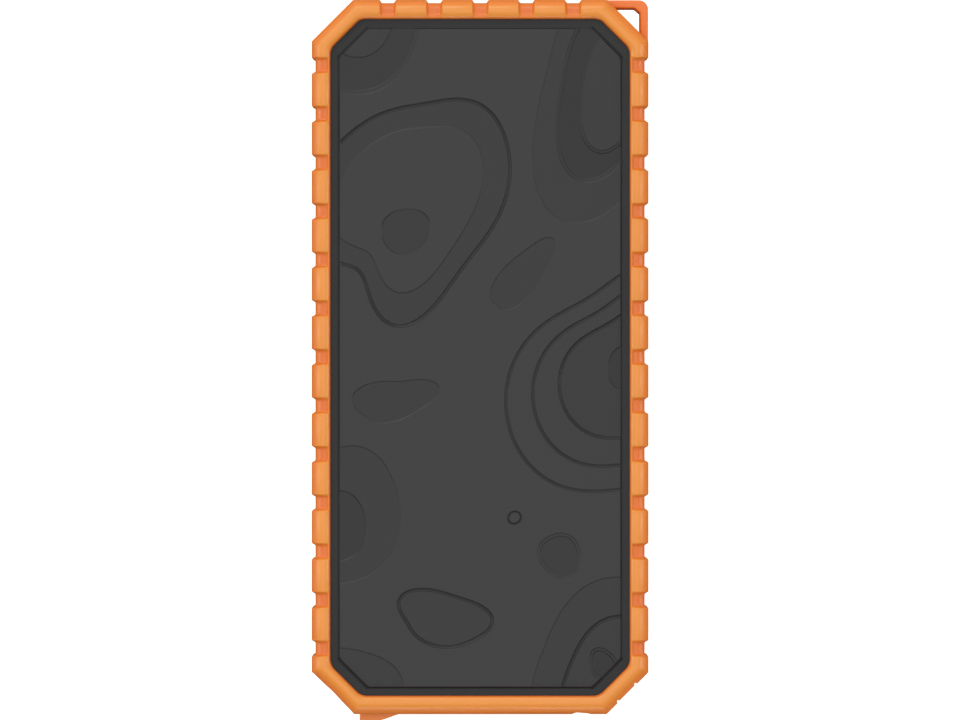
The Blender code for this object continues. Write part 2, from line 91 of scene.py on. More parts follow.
def ramp(nt, fac, stops):
    r = nt.nodes.new("ShaderNodeValToRGB")
    els = r.color_ramp.elements
    while len(els) < len(stops):
        els.new(0.5)
    for e, (p, c) in zip(els, stops):
        e.position = p
        e.color = (c[0], c[1], c[2], 1.0)
    nt.links.new(fac, r.inputs["Fac"])
    return r.outputs["Color"]


def map_range(nt, fac, a, b, c, d):
    n = nt.nodes.new("ShaderNodeMapRange")
    for k, v in (("From Min", a), ("From Max", b), ("To Min", c), ("To Max", d)):
        n.inputs[k].default_value = v
    nt.links.new(fac, n.inputs["Value"])
    return n.outputs["Result"]


def bump(nt, height, strength, distance, normal=None):
    b = nt.nodes.new("ShaderNodeBump")
    b.inputs["Strength"].default_value = strength
    b.inputs["Distance"].default_value = distance
    nt.links.new(height, b.inputs["Height"])
    if normal is not None:
        nt.links.new(normal, b.inputs["Normal"])
    return b.outputs["Normal"]


def shade(c, k):
    return tuple(min(1.0, v * k) for v in c)


def moulded(name, colour, rough, spread=0.05, grain=2600.0, depth=0.000012, strength=0.35,
            spec=0.5, metal=0.0, tint=None, dust=0.0, vary=0.05, sunk_shade=None, notch=None):
    """Moulded plastic or rubber: faint colour drift, fine spark-eroded grain, uneven gloss, and optional painted shade
    darkening the faces that lie low.
    """
    m, nt, b = new_mat(name)
    v = coords(nt)
    drift = noise(nt, v, 38.0, 3.0)
    lo, hi = shade(colour, 1.0 - spread), shade(colour, 1.0 + spread)
    if tint is not None:
        hi = tint
    col = ramp(nt, drift, [(0.3, lo), (0.7, hi)])
    if dust > 0.0:
        speck = noise(nt, v, 900.0, 2.0)
        mask = map_range(nt, speck, 0.60, 0.80, 0.0, dust)
        mix = nt.nodes.new("ShaderNodeMix")
        mix.data_type = "RGBA"
        nt.links.new(mask, mix.inputs["Factor"])
        nt.links.new(col, mix.inputs["A"])
        mix.inputs["B"].default_value = (0.30, 0.29, 0.27, 1.0)
        col = mix.outputs["Result"]
    if sunk_shade is not None:
        # painted shade: faces that lie below the top (or above the bottom) get a darker base colour standing in for the
        # shade in recesses and on sloping flanks; it goes by the height of the face
        z_low, z_high, shade_tone = sunk_shade
        sep = nt.nodes.new("ShaderNodeSeparateXYZ")
        nt.links.new(v, sep.inputs["Vector"])
        away = nt.nodes.new("ShaderNodeMath")
        away.operation = "SUBTRACT"
        nt.links.new(sep.outputs["Z"], away.inputs[0])
        away.inputs[1].default_value = 0.014
        mag = nt.nodes.new("ShaderNodeMath")
        mag.operation = "ABSOLUTE"
        nt.links.new(away.outputs["Value"], mag.inputs[0])
        f = map_range(nt, mag.outputs["Value"], z_low - 0.014, z_high - 0.014, 0.0, 1.0)
        mix = nt.nodes.new("ShaderNodeMix")
        mix.data_type = "RGBA"
        mix.blend_type = "MULTIPLY"
        mix.inputs["Factor"].default_value = 1.0
        nt.links.new(col, mix.inputs["A"])
        nt.links.new(ramp(nt, f, [(0.0, shade_tone), (1.0, (1.0, 1.0, 1.0))]), mix.inputs["B"])
        col = mix.outputs["Result"]
        if notch is not None:
            # painted shade: the floors between the ribs lie low and well inside the outline, and their base colour is
            # darkened and reddened there to stand in for their shade
            low, inside, notch_shade_colour = notch

            def math_node(op, a, c=None):
                node = nt.nodes.new("ShaderNodeMath")
                node.operation = op
                for k, val in enumerate((a, c)):
                    if val is None:
                        continue
                    if isinstance(val, float):
                        node.inputs[k].default_value = val
                    else:
                        nt.links.new(val, node.inputs[k])
                return node.outputs["Value"]

            across = math_node("ABSOLUTE", sep.outputs["X"])
            along = math_node("ABSOLUTE", math_node("SUBTRACT", sep.outputs["Y"], CY * MM))
            inward = math_node("MINIMUM", math_node("SUBTRACT", HX * MM, across),
                               math_node("SUBTRACT", HY * MM, along))
            corner = math_node("SUBTRACT", (HX + HY - CHAMFER) * MM, math_node("ADD", across, along))
            inward = math_node("MINIMUM", inward, math_node("MULTIPLY", corner, 0.70711))
            notch_shade_mask = math_node("MULTIPLY", map_range(nt, inward, inside - 0.0009, inside + 0.0006, 0.0, 1.0),
                             map_range(nt, mag.outputs["Value"], low - 0.0139, low - 0.0141 + 0.0003, 1.0, 0.0))
            mix = nt.nodes.new("ShaderNodeMix")
            mix.data_type = "RGBA"
            mix.blend_type = "MULTIPLY"
            nt.links.new(notch_shade_mask, mix.inputs["Factor"])
            nt.links.new(col, mix.inputs["A"])
            mix.inputs["B"].default_value = (*notch_shade_colour, 1.0)
            col = mix.outputs["Result"]
    nt.links.new(col, b.inputs["Base Color"])
    g1 = noise(nt, v, grain, 2.0, 0.6)
    g2 = noise(nt, v, 160.0, 3.0)
    nt.links.new(map_range(nt, g2, 0.3, 0.7, rough - vary, rough + vary), b.inputs["Roughness"])
    nt.links.new(bump(nt, g1, strength, depth), b.inputs["Normal"])
    b.inputs["Specular IOR Level"].default_value = spec
    b.inputs["Metallic"].default_value = metal
    return m


def metal(name, colour, rough, brush=None, stain=0.06):
    m, nt, b = new_mat(name)
    v = coords(nt)
    if brush is not None:
        mp = nt.nodes.new("ShaderNodeMapping")
        mp.inputs["Scale"].default_value = brush
        nt.links.new(v, mp.inputs["Vector"])
        v2 = mp.outputs["Vector"]
    else:
        v2 = v
    n1 = noise(nt, v2, 900.0, 3.0)
    n2 = noise(nt, v, 120.0, 4.0)
    nt.links.new(ramp(nt, n2, [(0.3, shade(colour, 1 - stain)), (0.7, shade(colour, 1 + stain))]),
                 b.inputs["Base Color"])
    nt.links.new(map_range(nt, n1, 0.3, 0.7, rough - 0.06, rough + 0.08), b.inputs["Roughness"])
    nt.links.new(bump(nt, n1, 0.2, 0.00001), b.inputs["Normal"])
    b.inputs["Metallic"].default_value = 1.0
    return m


def board_mat(name):
    """Green solder mask with copper tracks showing faintly through it."""
    m, nt, b = new_mat(name)
    v = coords(nt)
    w = nt.nodes.new("ShaderNodeTexBrick")
    w.inputs["Scale"].default_value = 210.0
    w.inputs["Mortar Size"].default_value = 0.012
    w.inputs["Color1"].default_value = (0.012, 0.10, 0.035, 1)
    w.inputs["Color2"].default_value = (0.016, 0.13, 0.045, 1)
    w.inputs["Mortar"].default_value = (0.03, 0.20, 0.07, 1)
    nt.links.new(v, w.inputs["Vector"])
    nt.links.new(w.outputs["Color"], b.inputs["Base Color"])
    g = noise(nt, v, 700.0, 2.0)
    nt.links.new(map_range(nt, g, 0.3, 0.7, 0.32, 0.45), b.inputs["Roughness"])
    nt.links.new(bump(nt, w.outputs["Fac"], 0.3, 0.00003), b.inputs["Normal"])
    return m


def foil_mat(name):
    m, nt, b = new_mat(name)
    v = coords(nt)
    n1 = noise(nt, v, 60.0, 5.0, 0.6, 0.6)
    nt.links.new(ramp(nt, n1, [(0.3, (0.42, 0.43, 0.45)), (0.7, (0.60, 0.61, 0.63))]), b.inputs["Base Color"])
    nt.links.new(map_range(nt, n1, 0.3, 0.7, 0.28, 0.42), b.inputs["Roughness"])
    nt.links.new(bump(nt, n1, 0.5, 0.0002), b.inputs["Normal"])
    b.inputs["Metallic"].default_value = 0.9
    return m


def clear_mat(name):
    m, nt, b = new_mat(name)
    v = coords(nt)
    n1 = noise(nt, v, 300.0, 2.0)
    nt.links.new(ramp(nt, n1, [(0.3, (0.70, 0.74, 0.76)), (0.7, (0.78, 0.82, 0.84))]), b.inputs["Base Color"])
    nt.links.new(map_range(nt, n1, 0.3, 0.7, 0.14, 0.24), b.inputs["Roughness"])
    b.inputs["Specular IOR Level"].default_value = 0.6
    return m


# painted shade: the bumper's rib flanks and the floors between the ribs get a darker, redder base colour by height and
# position
ORANGE = moulded("m_bumper_orange", (0.592, 0.198, 0.0215), 0.37, 0.02, 1900.0, 0.00002, 0.25, 0.48,
                 tint=(0.607, 0.206, 0.0230), sunk_shade=(0.02675, 0.02770, (1.0, 0.76, 0.45)),
                 notch=(0.02735, 0.0016, (0.96, 0.74, 0.55)))
LOOP = moulded("m_loop_orange", (0.640, 0.135, 0.0110), 0.42, 0.025, 1900.0, 0.000015, 0.25, 0.5,
               tint=(0.655, 0.142, 0.0118))
COVER = moulded("m_cover_orange", (0.640, 0.176, 0.0150), 0.40, 0.03, 1900.0, 0.00002, 0.25, 0.55,
                tint=(0.655, 0.184, 0.0160))
BUTTON = moulded("m_button_orange", (0.645, 0.190, 0.0190), 0.38, 0.025, 1900.0, 0.00002, 0.25, 0.5)
SHELL = moulded("m_housing_black", (0.0120, 0.0122, 0.0130), 0.46, 0.04, 3000.0, 0.000014, 0.45, 0.245, vary=0.015)
# painted shade: the recessed parts of the relief and the panel's sloping rim and sides get a darker base colour by
# height
FIELD = moulded("m_field_black", (0.0178, 0.0178, 0.0180), 0.44, 0.02, 2600.0, 0.000016, 0.5, 0.29,
                vary=0.010, sunk_shade=(0.02636, 0.02669, (0.50, 0.50, 0.50)))
SEAL = moulded("m_seal", (0.012, 0.012, 0.012), 0.8, 0.1)
TONGUE = moulded("m_tongue", (0.012, 0.012, 0.014), 0.42, 0.08)
CHIP = moulded("m_chip", (0.014, 0.014, 0.016), 0.38, 0.08, 4000.0, 0.00001, 0.4)
FERRITE = moulded("m_ferrite", (0.06, 0.06, 0.062), 0.6, 0.2, 2000.0, 0.00003, 0.6)
FOAM = moulded("m_foam", (0.05, 0.05, 0.055), 0.95, 0.2, 1500.0, 0.0002, 1.0, 0.2)
RED = moulded("m_lead_red", (0.42, 0.015, 0.012), 0.45, 0.06)
DARK = moulded("m_lead_black", (0.012, 0.012, 0.012), 0.45, 0.06)
BEAD = moulded("m_bead", (0.09, 0.05, 0.02), 0.3, 0.2)
CREAM = moulded("m_plunger", (0.62, 0.60, 0.54), 0.4, 0.04)
WHITE = moulded("m_led", (0.80, 0.80, 0.70), 0.3, 0.03)
SCREW = metal("m_screw", (0.16, 0.16, 0.165), 0.32)
SOCKET = metal("m_socket", (0.60, 0.60, 0.61), 0.26, (1.0, 0.05, 1.0))
NICKEL = metal("m_nickel", (0.56, 0.54, 0.49), 0.28, (1.0, 0.1, 1.0))
GOLD = metal("m_contact", (0.80, 0.56, 0.22), 0.22)
CAN = metal("m_can", (0.66, 0.67, 0.69), 0.24, (0.3, 0.3, 3.0))
PCB = board_mat("m_board")
FOIL = foil_mat("m_pouch")
CLEAR = clear_mat("m_light_guide")


# ------------------------------------------------------------------ mesh helpers
def link(name, bm, mat, angle=34.0, recalc=True):
    if recalc:
        bmesh.ops.recalc_face_normals(bm, faces=bm.faces)
    me = bpy.data.meshes.new(name)
    bm.to_mesh(me)
    bm.free()
    ob = bpy.data.objects.new(name, me)
    bpy.context.scene.collection.objects.link(ob)
    if mat is not None:
        me.materials.append(mat)
    if angle is not None:
        me.shade_smooth()
        me.set_sharp_from_angle(angle=math.radians(angle))
    return ob


def rows_to(bm, rows, closed=False, caps=True):
    vs = [[bm.verts.new(Vector(p) * MM) for p in r] for r in rows]
    n = len(vs[0])
    pairs = list(zip(vs, vs[1:]))
    if closed:
        pairs.append((vs[-1], vs[0]))
    for a, b in pairs:
        for i in range(n):
            j = (i + 1) % n
            bm.faces.new((a[i], a[j], b[j], b[i]))
    if not closed and caps:
        bm.faces.new(vs[0])
        bm.faces.new(list(reversed(vs[-1])))
    return vs


def boolean(ob, tools, op="DIFFERENCE"):
    for k, tool in enumerate(tools):
        md = ob.modifiers.new("b%d" % k, "BOOLEAN")
        md.operation = op
        md.solver = "EXACT"
        md.object = tool
        dg = bpy.context.evaluated_depsgraph_get()
        dg.update()
        me = bpy.data.meshes.new_from_object(ob.evaluated_get(dg), depsgraph=dg)
        ob.modifiers.clear()
        old = ob.data
        ob.data = me
        bpy.data.meshes.remove(old)
        bpy.data.objects.remove(tool, do_unlink=True)
    return ob


def one_material(ob, mat, angle=34.0):
    ob.data.materials.clear()
    ob.data.materials.append(mat)
    for f in ob.data.polygons:
        f.material_index = 0
    ob.data.shade_smooth()
    ob.data.set_sharp_from_angle(angle=math.radians(angle))


def outline(d, hx=HX, hy=HY, c=CHAMFER, cy=CY):
    x, y = hx - d, hy - d
    k = c - (2.0 - math.sqrt(2.0)) * d
    return [(x, cy - y + k), (x, cy + y - k), (x - k, cy + y), (-x + k, cy + y),
            (-x, cy + y - k), (-x, cy - y + k), (-x + k, cy - y), (x - k, cy - y)]


def arc_pts(prev, v, nxt, rho, steps):
    """Rounded corner at v: points from the side prev-v to the side v-nxt."""
    a = (Vector(v) - Vector(prev)).normalized()
    b = (Vector(nxt) - Vector(v)).normalized()
    turn = a.angle(b)
    t = rho * math.tan(turn / 2)
    na, nb = Vector((a.y, -a.x)), Vector((b.y, -b.x))
    if a.x * b.y - a.y * b.x < 0:
        na, nb = -na, -nb
    c = Vector(v) - a * t - na * rho
    out = []
    for i in range(steps + 1):
        f = turn * i / steps
        d = (na * math.sin(turn - f) + nb * math.sin(f)) / math.sin(turn)
        out.append(tuple(c + d * rho))
    return out


def round_poly(poly, rho, steps=6):
    """Closed polygon with every corner rounded; rho is one radius or one for each corner."""
    n = len(poly)
    out = []
    for i in range(n):
        r = rho[i] if isinstance(rho, (list, tuple)) else rho
        if r <= 0:
            out.append(tuple(poly[i]))
        else:
            out.extend(arc_pts(poly[i - 1], poly[i], poly[(i + 1) % n], r, steps))
    return out


def rrect(hw, hh, r, cx=0.0, cz=0.0, steps=6):
    return round_poly([(cx + hw, cz - hh), (cx + hw, cz + hh), (cx - hw, cz + hh), (cx - hw, cz - hh)], r, steps)


def prism_obj(name, poly, levels, mat, angle=34.0):
    """Vertical solid: levels is a list of (z, inward offset) applied to the outline's own normals."""
    n = len(poly)
    pts = [Vector(p) for p in poly]
    nor = []
    for i in range(n):
        a = (pts[i] - pts[i - 1])
        b = (pts[(i + 1) % n] - pts[i])
        a = a.normalized() if a.length > 1e-9 else b.normalized()
        b = b.normalized() if b.length > 1e-9 else a
        na, nb = Vector((-a.y, a.x)), Vector((-b.y, b.x))
        m = (na + nb).normalized()
        k = max(0.35, m.dot(na))
        nor.append(m / k)
    rows = [[(pts[i].x + nor[i].x * off, pts[i].y + nor[i].y * off, z) for i in range(n)] for z, off in levels]
    bm = bmesh.new()
    rows_to(bm, rows)
    return link(name, bm, mat, angle)


# ------------------------------------------------------------------ camera first
cam_data = bpy.data.cameras.new("camera")
cam = bpy.data.objects.new("camera", cam_data)
bpy.context.scene.collection.objects.link(cam)
cam_data.lens, cam_data.sensor_width = 400.0, 36.0
cam_data.clip_start, cam_data.clip_end = 0.05, 30.0
cam.location = (-0.00001, (CY - 0.775) * MM, 0.12 * 400.0 / 18.0 + 0.019)
cam.rotation_euler = (0.0, 0.0, 0.0)
bpy.context.scene.camera = cam


# ------------------------------------------------------------------ bumper
RIB = [(0.0, 24.0), (0.03, 24.9), (0.2, 25.7), (0.5, 26.4), (0.95, 27.0), (1.5, 27.48), (2.1, 27.83),
       (2.65, 27.98), (3.15, 27.99), (3.65, 27.88), (4.1, 27.66), (4.42, 27.40), (4.62, 27.05), (4.7, 26.65),
       (4.7, 26.15)]
NOTCH = [(0.95, 24.0), (0.97, 24.9), (1.07, 25.5), (1.28, 26.0), (1.6, 26.38), (2.0, 26.66), (2.45, 26.85),
         (2.9, 26.96), (3.35, 27.0), (3.72, 27.06), (4.1, 27.48), (4.42, 27.40), (4.62, 27.05), (4.7, 26.65),
         (4.7, 26.15)]
FLANK = [(2.25, 0.0), (2.06, 0.05), (1.92, 0.25), (1.74, 0.58), (1.57, 0.88), (1.43, 0.98), (1.15, 1.0)]
RIB_PITCH = 12.115


def ring_radius(d):
    f = max(0.0, min(1.0, d / 4.7))
    return 0.7 + 3.1 * f * f * (3 - 2 * f)


def section(w, depth):
    """Outline of the lip at notch weight w, upper half then lower half."""
    up = []
    for (d0, z0), (d1, z1) in zip(RIB, NOTCH):
        d1 = d0 + (d1 - d0) * depth
        up.append((d0 + (d1 - d0) * w, z0 + (z1 - z0) * w))
    up.append((2.1, 26.15))
    low = [(d, THICK - z) for d, z in reversed(up)]
    return up + low


def build_bumper():
    o0 = outline(0.0)
    rows = []
    rib_first = 73.76
    ys = [rib_first - k * RIB_PITCH for k in range(13)]
    ends = [-23.0, -11.4, 0.1, 11.55, 23.2]
    for i in range(8):
        a, b = Vector(o0[i]), Vector(o0[(i + 1) % 8])
        t = (b - a).normalized()
        n = Vector((t.y, -t.x))
        length = (b - a).length
        marks = []
        if i == 0:
            marks = [(y - a.y, 1.0) for y in sorted(ys)]
        elif i == 4:
            marks = [(a.y - y, 1.0) for y in ys]
        elif i == 2:
            marks = [(a.x - x, 0.92) for x in sorted(ends, reverse=True)]
        stations = []
        if marks:
            for s, dep in marks:
                for off, w in FLANK:
                    stations.append((s - off, w, dep))
                for off, w in reversed(FLANK):
                    stations.append((s + off, w, dep))
        elif i == 5:
            stations = [(length * f, 0.0, 1.0) for f in (0.3, 0.36, 0.43, 0.5, 0.57, 0.64, 0.7)]
        for s, w, dep in stations:
            scoop = 0.0
            if i == 5:
                scoop = 0.36 * math.sin(math.pi * s / length) ** 1.5
            row = []
            for d, z in section(w, dep):
                dd = d + scoop * max(0.0, 1.0 - d / 4.2)
                p = a + t * s - n * dd
                row.append((p.x, p.y, z))
            rows.append(row)
        # the corner at b, each ring with its own rounding
        steps = 8
        cols = []
        for d, z in section(0.0, 1.0):
            od = outline(d)
            pts = arc_pts(od[i], od[(i + 1) % 8], od[(i + 2) % 8], ring_radius(d), steps)
            if i in (4, 5):
                # ends of the scooped chamfer ease into its hollow
                k = range(len(pts))
                q = []
                for j in k:
                    f = j / steps if i == 4 else 1 - j / steps
                    s = 0.36 * math.sin(math.pi * 0.2 * f) ** 1.5 * max(0.0, 1.0 - d / 4.2)
                    q.append((pts[j][0] + R2 * s, pts[j][1] + R2 * s))
                pts = q
            cols.append([(x, y, z) for x, y in pts])
        for j in range(steps + 1):
            rows.append([c[j] for c in cols])
    bm = bmesh.new()
    rows_to(bm, rows, closed=True)
    return link("bumper_body", bm, ORANGE)


def cutter_loft(centre, n, loops):
    """Closed cutter: loops is a list of (distance along n, outline in (t, z))."""
    n = Vector((n[0], n[1], 0.0))
    t = Vector((-n.y, n.x, 0.0))
    c = Vector((centre[0], centre[1], MID))
    rows = [[tuple(c + n * s + t * a + Vector((0, 0, z))) for a, z in lp] for s, lp in loops]
    bm = bmesh.new()
    rows_to(bm, rows)
    return link("tool", bm, None, None)


bumper = build_bumper()
BUTTON_N, BUTTON_C = (R2, -R2), (HX - CHAMFER / 2, BOT + CHAMFER / 2)
LOOP_N, LOOP_C = (R2, R2), (HX - CHAMFER / 2, TOP - CHAMFER / 2)
COVER_C = (-1.5, BOT)


def flare(hw, hh, r, cx=0.0):
    """Window with a small rounded lip at the outer face."""
    out = [(-2.6, rrect(hw, hh, r, cx))]
    for k in range(6):
        a = math.radians(90.0 * k / 5)
        g = 0.35 * (1 - math.cos(a))
        out.append((-0.35 + 0.35 * math.sin(a), rrect(hw + g, hh + g, r + g, cx)))
    out.append((1.2, rrect(hw + 0.35, hh + 0.35, r + 0.35, cx)))
    return out


boolean(bumper, [cutter_loft(COVER_C, (0.0, -1.0), flare(29.25, 8.0, 1.2)),
                 cutter_loft(BUTTON_C, BUTTON_N, flare(3.75, 6.0, 1.6)),
                 cutter_loft(BUTTON_C, BUTTON_N, [(-2.6, rrect(4.6, 6.9, 1.8)), (-1.2, rrect(4.6, 6.9, 1.8))])])


def chamfer_prism(prof):
    """Full-height cutter on the button chamfer: prof is (t, depth) along the outer face."""
    n, t = Vector(BUTTON_N), Vector((-BUTTON_N[1], BUTTON_N[0]))
    c = Vector(BUTTON_C)
    poly = [tuple(c + t * a - n * d) for a, d in prof]
    return prism_obj("tool", poly, [(-1.0, 0.0), (THICK + 1.0, 0.0)], None, None)


boolean(bumper, [
    chamfer_prism([(-3.65, -0.6), (3.65, -0.6), (3.5, 0.0), (3.25, 0.58), (2.85, 0.58), (2.6, 0.16),
                   (-2.6, 0.16), (-2.85, 0.58), (-3.25, 0.58), (-3.5, 0.0)]),
    prism_obj("tool", [(22.6, BOT - 0.6), (27.9, BOT - 0.6), (27.75, BOT), (27.0, BOT + 0.25), (24.3, BOT + 0.5),
                       (23.9, BOT + 0.47), (22.75, BOT)], [(-1.0, 0.0), (THICK + 1.0, 0.0)], None, None)])
# the lip is a little wider along the lanyard end
for v in bumper.data.vertices:
    x, d = abs(v.co.x) / MM, CY + HY - v.co.y / MM
    if 3.8 < d < 5.2 and x < 32.0:
        f, g = min(1.0, (d - 3.8) / 0.8), max(0.0, min(1.0, (x - 27.5) / 4.0))
        v.co.y -= 0.22 * MM * f * f * (3 - 2 * f) * (1.0 - g * g * (3 - 2 * g))
one_material(bumper, ORANGE)
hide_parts("bumper_frame")
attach(bumper, "housing")


# ------------------------------------------------------------------ lanyard loop
def edge_levels(z0, z1, r, steps=5):
    lv = []
    for k in range(steps + 1):
        a = math.radians(90.0 * k / steps)
        lv.append((z0 + r - r * math.cos(a), r - r * math.sin(a)))
    for k in range(steps + 1):
        a = math.radians(90.0 * k / steps)
        lv.append((z1 - r + r * math.sin(a), r - r * math.cos(a)))
    return lv


LB = 2.1
S0 = HX - CHAMFER + TOP            # x + y on the frame's chamfer
S = S0 - 0.35                      # the bar's ends sink a little into the rubber
loop_poly = [(S - TOP, TOP), (HX, TOP), (HX, S - HX),
             (HX - LB, S - (HX - LB)), (HX - LB, TOP - LB - 1.15), (HX - LB - 1.35, TOP - LB),
             (S - (TOP - LB), TOP - LB)]
loop_poly = list(reversed(loop_poly))
lp = round_poly(loop_poly, [0.0, 0.45, 0.45, 0.0, 0.0, 2.3, 0.0], 8)
loop = prism_obj("lanyard_bar", lp, edge_levels(MID - 6.0, MID + 6.0, 0.55), LOOP)
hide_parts("lanyard_loop")
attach(loop, "housing")


# ------------------------------------------------------------------ relief on the face
def smooth(points, closed, step=0.55):
    """Even, smooth polyline through given points (centripetal-like spline)."""
    p = [Vector(q) for q in points]
    n = len(p)
    out = []
    rng = range(n) if closed else range(n - 1)
    for i in rng:
        if closed:
            p0, p1, p2, p3 = p[i - 1], p[i], p[(i + 1) % n], p[(i + 2) % n]
        else:
            p0 = p[i - 1] if i > 0 else p[i] * 2 - p[i + 1]
            p1, p2 = p[i], p[i + 1]
            p3 = p[i + 2] if i + 2 < n else p[i + 1] * 2 - p[i]
        m = max(2, int((p2 - p1).length / 0.35))
        for k in range(m):
            t = k / m
            out.append(0.5 * ((2 * p1) + (p2 - p0) * t + (2 * p0 - 5 * p1 + 4 * p2 - p3) * t * t
                              + (3 * p1 - p0 - 3 * p2 + p3) * t ** 3))
    if not closed:
        out.append(p[-1])
    # two passes of averaging take out the unevenness of the given points
    for _ in range(6):
        q = list(out)
        m = len(out)
        for i in range(m):
            if not closed and i in (0, m - 1):
                continue
            q[i] = (out[i - 1] + out[i] * 2 + out[(i + 1) % m]) * 0.25
        out = q
    # resample evenly
    if closed:
        out.append(out[0])
    acc, res = 0.0, [out[0]]
    for a, b in zip(out, out[1:]):
        seg = (b - a).length
        while acc + seg >= step:
            f = (step - acc) / seg
            a = a.lerp(b, f)
            seg = (b - a).length
            res.append(a.copy())
            acc = 0.0
        acc += seg
    if closed:
        if (res[-1] - res[0]).length < step * 0.6:
            res.pop()
    else:
        if (res[-1] - out[-1]).length < step * 0.4:
            res[-1] = out[-1]
        else:
            res.append(out[-1])
    return res


class Line:
    """One contour: a smooth line, which side of it is the inside, and its cross section.

    groove: (width, depth) of a rounded channel along the line.
    steps: list of (distance inside the line, drop) for thin terraces; a negative drop rises.
    """
    WALL = 0.32

    def __init__(self, points, side=0, groove=None, steps=()):
        self.closed = side == 0
        self.pts = smooth(points, self.closed)
        if self.closed:
            area = sum(self.pts[i - 1].x * self.pts[i].y - self.pts[i].x * self.pts[i - 1].y
                       for i in range(len(self.pts)))
            self.side = 1 if area > 0 else -1
        else:
            self.side = side
        self.groove, self.steps = groove, steps
        self.tree = KDTree(len(self.pts))
        for i, p in enumerate(self.pts):
            self.tree.insert((p.x, p.y, 0.0), i)
        self.tree.balance()

    def offsets(self):
        out = []
        if self.groove:
            w, _ = self.groove
            out += [-w / 2, -w * 0.30, 0.0, w * 0.30, w / 2]
        for at, _ in self.steps:
            if self.groove and abs(at) < 0.01:
                continue
            out += [at - self.WALL / 2, at + self.WALL / 2]
        return out

    def offset_line(self, d):
        """The line moved d towards its inside."""
        m = len(self.pts)
        out = []
        for i, p in enumerate(self.pts):
            if self.closed:
                t = self.pts[(i + 1) % m] - self.pts[i - 1]
            else:
                t = self.pts[min(i + 1, m - 1)] - self.pts[max(i - 1, 0)]
            n = Vector((-t.y, t.x)).normalized() * self.side
            out.append(p + n * d)
        # drop the points that a tight bend folds back
        if abs(d) > 0.3:
            keep = []
            for q in out:
                _, _, dist = self.tree.find((q.x, q.y, 0.0))
                if dist > abs(d) - 0.06:
                    keep.append(q)
            out = keep
        return out

    def signed(self, q):
        """Distance from the line, positive inside."""
        _, i, _ = self.tree.find((q.x, q.y, 0.0))
        m = len(self.pts)
        best, sign = 1e9, 1.0
        for a in (i - 1, i):
            if self.closed:
                p0, p1 = self.pts[a % m], self.pts[(a + 1) % m]
            else:
                if a < 0 or a + 1 >= m:
                    continue
                p0, p1 = self.pts[a], self.pts[a + 1]
            e = p1 - p0
            f = max(0.0, min(1.0, (q - p0).dot(e) / e.length_squared))
            r = q - (p0 + e * f)
            if r.length < best - 1e-9:
                best = r.length
                sign = 1.0 if e.x * r.y - e.y * r.x > 0 else -1.0
        return best * sign * self.side

    def drop(self, q):
        s = self.signed(q)
        h = 0.0
        if self.groove:
            w, depth = self.groove
            f = min(1.0, abs(s) / (w / 2))
            h += depth * (1.0 - f ** 2.2)
        for at, dz in self.steps:
            wall = self.groove[0] if self.groove and abs(at) < 0.01 else self.WALL
            f = max(0.0, min(1.0, (s - at) / wall + 0.5))
            h += dz * f
        return h


def loop_of(hx, hy, c, cy, inset, r=1.6, steps=8):
    """Rounded outline of a panel, counter-clockwise."""
    return [Vector(p) for p in round_poly(outline(inset, hx, hy, c, cy), r, steps)]


